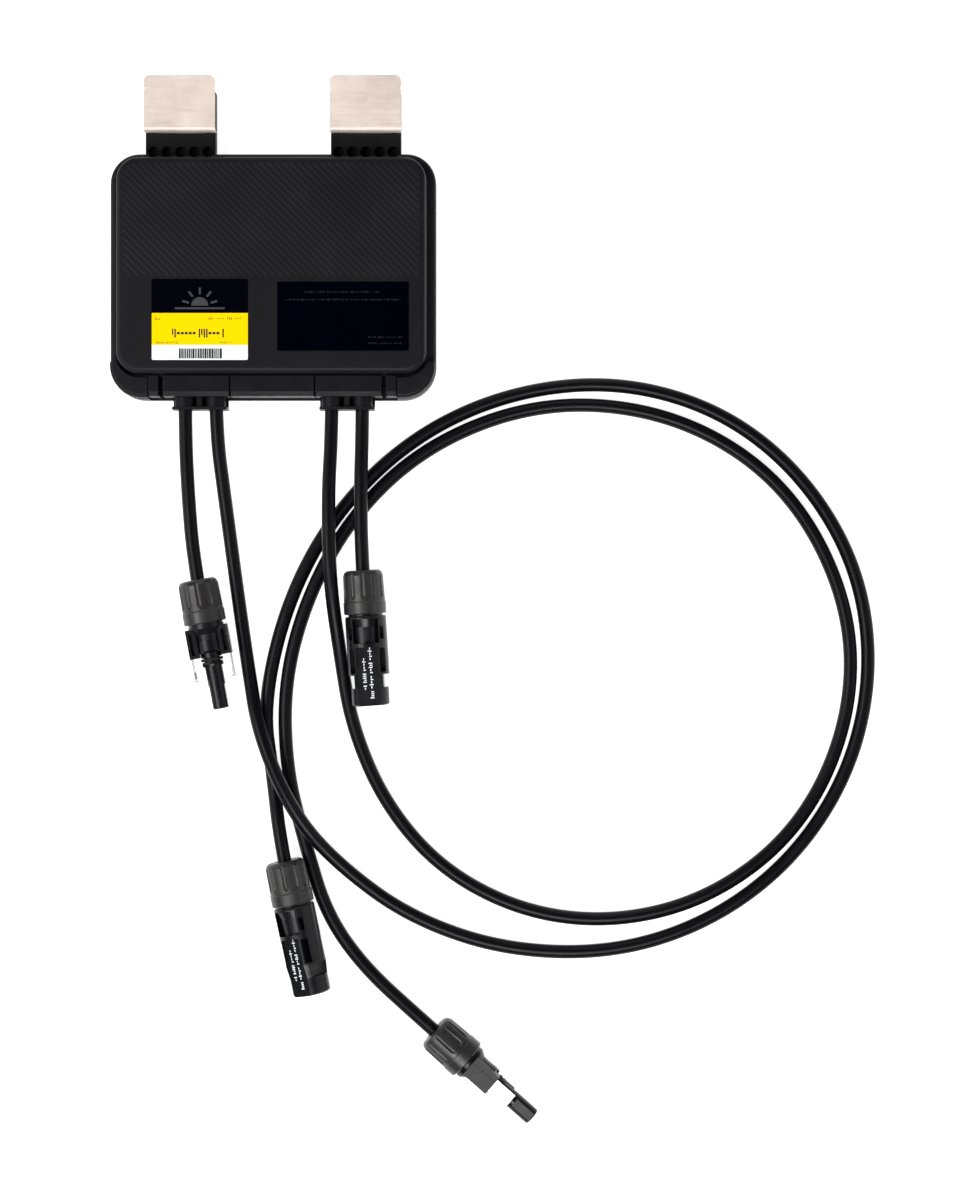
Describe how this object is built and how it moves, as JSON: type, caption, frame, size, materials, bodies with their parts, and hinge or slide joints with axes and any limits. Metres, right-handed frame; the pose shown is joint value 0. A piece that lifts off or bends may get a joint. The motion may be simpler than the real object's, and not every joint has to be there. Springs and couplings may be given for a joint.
{
  "type": "module-level solar power unit",
  "caption": "Flat sealed box that clips to a solar module's frame, with paired input and output leads ending in locking solar plugs and sockets.",
  "frame": {"origin": "on the resting surface, under the middle of the box and its frame clips", "axes": "+X to the right across the box, +Y towards the frame clips, +Z out of the lid"},
  "size_m": [0.3264, 0.4449, 0.0229],
  "materials": {
    "shell_plastic": "fine matte moulded glass-filled plastic",
    "lid_plastic": "fine matte moulded plastic with a ribbed field",
    "block_plastic": "satin moulded plastic",
    "seal_rubber": "soft black rubber",
    "label_yellow": "printed polyester sticker",
    "label_dark": "satin black sticker with faint print",
    "clip_steel": "warm satin stainless sheet",
    "spring_steel": "bright spring steel",
    "zinc_steel": "zinc-plated steel",
    "tinned_steel": "tinned sheet steel",
    "contact_metal": "tin-plated copper alloy",
    "board_laminate": "green solder mask on glass laminate",
    "ferrite": "sintered dark grey ferrite",
    "chip_epoxy": "moulded epoxy",
    "heat_aluminium": "mill-finish aluminium",
    "can_aluminium": "drawn aluminium can",
    "potting_resin": "cast dark resin",
    "nut_plastic": "warm grey-black moulded plastic",
    "cage_plastic": "plain moulded plastic",
    "connector_plastic": "semi-gloss black moulded plastic",
    "lead_jacket": "satin black cross-linked cable jacket"
  },
  "bodies": {
    "root": {"antenna_strip": "contact_metal", "base_shell": "shell_plastic", "block_latches": "block_plastic", "board_screws": "zinc_steel", "bypass_diodes": "chip_epoxy", "cable_block_negative": "block_plastic", "cable_block_positive": "block_plastic", "cable_seal_negative_long": "seal_rubber", "cable_seal_negative_short": "seal_rubber", "cable_seal_positive_long": "seal_rubber", "cable_seal_positive_short": "seal_rubber", "capacitors": "can_aluminium", "circuit_board": "board_laminate", "controller_chips": "chip_epoxy", "data_label": "label_dark", "frame_clip_left": "clip_steel", "frame_clip_right": "clip_steel", "front_bar": "block_plastic", "gland_seals_negative": "seal_rubber", "gland_seals_positive": "seal_rubber", "heat_spreader": "heat_aluminium", "lead_negative_long": "lead_jacket", "lead_negative_short": "lead_jacket", "lead_positive_long": "lead_jacket", "lead_positive_short": "lead_jacket", "lid_cover": "lid_plastic", "lid_gasket": "seal_rubber", "plug_contact_negative_short": "contact_metal", "plug_contact_positive_long": "contact_metal", "plug_housing_negative_short": "connector_plastic", "plug_housing_positive_long": "connector_plastic", "plug_o_rings": "seal_rubber", "potting_layer": "potting_resin", "power_inductors": "ferrite", "power_transistors": "chip_epoxy", "radio_shield": "tinned_steel", "socket_contact_negative_long": "contact_metal", "socket_contact_positive_short": "contact_metal", "socket_housing_negative_long": "connector_plastic", "socket_housing_positive_short": "connector_plastic", "terminal_lugs": "contact_metal", "type_label": "label_yellow"},
    "cage_negative_short": {"clamp_cage_negative_short": "cage_plastic"},
    "nut_negative_short": {"cap_nut_negative_short": "nut_plastic"},
    "spring_a_negative_short": {"latch_spring_a_negative_short": "spring_steel"},
    "spring_b_negative_short": {"latch_spring_b_negative_short": "spring_steel"},
    "cage_positive_long": {"clamp_cage_positive_long": "cage_plastic"},
    "nut_positive_long": {"cap_nut_positive_long": "nut_plastic"},
    "spring_a_positive_long": {"latch_spring_a_positive_long": "spring_steel"},
    "spring_b_positive_long": {"latch_spring_b_positive_long": "spring_steel"},
    "cage_negative_long": {"clamp_cage_negative_long": "cage_plastic"},
    "nut_negative_long": {"cap_nut_negative_long": "nut_plastic"},
    "cage_positive_short": {"clamp_cage_positive_short": "cage_plastic"},
    "nut_positive_short": {"cap_nut_positive_short": "nut_plastic"},
    "leaf_left": {"clip_leaf_left": "clip_steel"},
    "leaf_right": {"clip_leaf_right": "clip_steel"}
  },
  "joints": [
    {"name": "cage_slide_negative_short", "type": "slide", "parent": "root", "child": "cage_negative_short", "axis": [-0.1857, 0.9826, 0], "range_m": [0, 0.003]},
    {"name": "nut_turn_negative_short", "type": "hinge", "parent": "cage_negative_short", "child": "nut_negative_short", "pos_m": [-0.0325, -0.1454, 0.0091], "axis": [-0.1857, 0.9826, 0], "range_deg": [0, 720]},
    {"name": "latch_a_negative_short", "type": "hinge", "parent": "root", "child": "spring_a_negative_short", "pos_m": [-0.03453, -0.17937, 0.0091], "axis": [0, 0, -1], "range_deg": [0, 6], "stiffness_Nm_per_rad": 0.2},
    {"name": "latch_b_negative_short", "type": "hinge", "parent": "root", "child": "spring_b_negative_short", "pos_m": [-0.01822, -0.17629, 0.0091], "axis": [0, 0, 1], "range_deg": [0, 6], "stiffness_Nm_per_rad": 0.2},
    {"name": "cage_slide_positive_long", "type": "slide", "parent": "root", "child": "cage_positive_long", "axis": [-0.7513, 0.66, 0], "range_m": [0, 0.003]},
    {"name": "nut_turn_positive_long", "type": "hinge", "parent": "cage_positive_long", "child": "nut_positive_long", "pos_m": [0.0684, -0.3373, 0.0091], "axis": [-0.7513, 0.66, 0], "range_deg": [0, 720]},
    {"name": "latch_a_positive_long", "type": "hinge", "parent": "root", "child": "spring_a_positive_long", "pos_m": [0.09319, -0.35908, 0.0008], "axis": [0.66, 0.7513, 0], "range_deg": [0, 6], "stiffness_Nm_per_rad": 0.2},
    {"name": "latch_b_positive_long", "type": "hinge", "parent": "root", "child": "spring_b_positive_long", "pos_m": [0.09319, -0.35908, 0.0174], "axis": [-0.66, -0.7513, 0], "range_deg": [0, 6], "stiffness_Nm_per_rad": 0.2},
    {"name": "cage_slide_negative_long", "type": "slide", "parent": "root", "child": "cage_negative_long", "axis": [-0.2096, 0.9778, 0], "range_m": [0, 0.003]},
    {"name": "nut_turn_negative_long", "type": "hinge", "parent": "cage_negative_long", "child": "nut_negative_long", "pos_m": [0.0045, -0.265, 0.0091], "axis": [-0.2096, 0.9778, 0], "range_deg": [0, 720]},
    {"name": "cage_slide_positive_short", "type": "slide", "parent": "root", "child": "cage_positive_short", "axis": [-0.0628, 0.998, 0], "range_m": [0, 0.003]},
    {"name": "nut_turn_positive_short", "type": "hinge", "parent": "cage_positive_short", "child": "nut_positive_short", "pos_m": [0.038, -0.1413, 0.0106], "axis": [-0.0628, 0.998, 0], "range_deg": [0, 720]},
    {"name": "clip_open_left", "type": "hinge", "parent": "root", "child": "leaf_left", "pos_m": [-0.0394, 0.0464, 0.0146], "axis": [1, 0, 0], "range_deg": [0, 6], "stiffness_Nm_per_rad": 1.5},
    {"name": "clip_open_right", "type": "hinge", "parent": "root", "child": "leaf_right", "pos_m": [0.0394, 0.0464, 0.0146], "axis": [1, 0, 0], "range_deg": [0, 6], "stiffness_Nm_per_rad": 1.5}
  ],
  "couplings": [
    {"joint": "nut_turn_negative_short", "follows": "cage_slide_negative_short", "rad_per_m": 4188.8},
    {"joint": "nut_turn_positive_long", "follows": "cage_slide_positive_long", "rad_per_m": 4188.8},
    {"joint": "nut_turn_negative_long", "follows": "cage_slide_negative_long", "rad_per_m": 4188.8},
    {"joint": "nut_turn_positive_short", "follows": "cage_slide_positive_short", "rad_per_m": 4188.8}
  ]
}
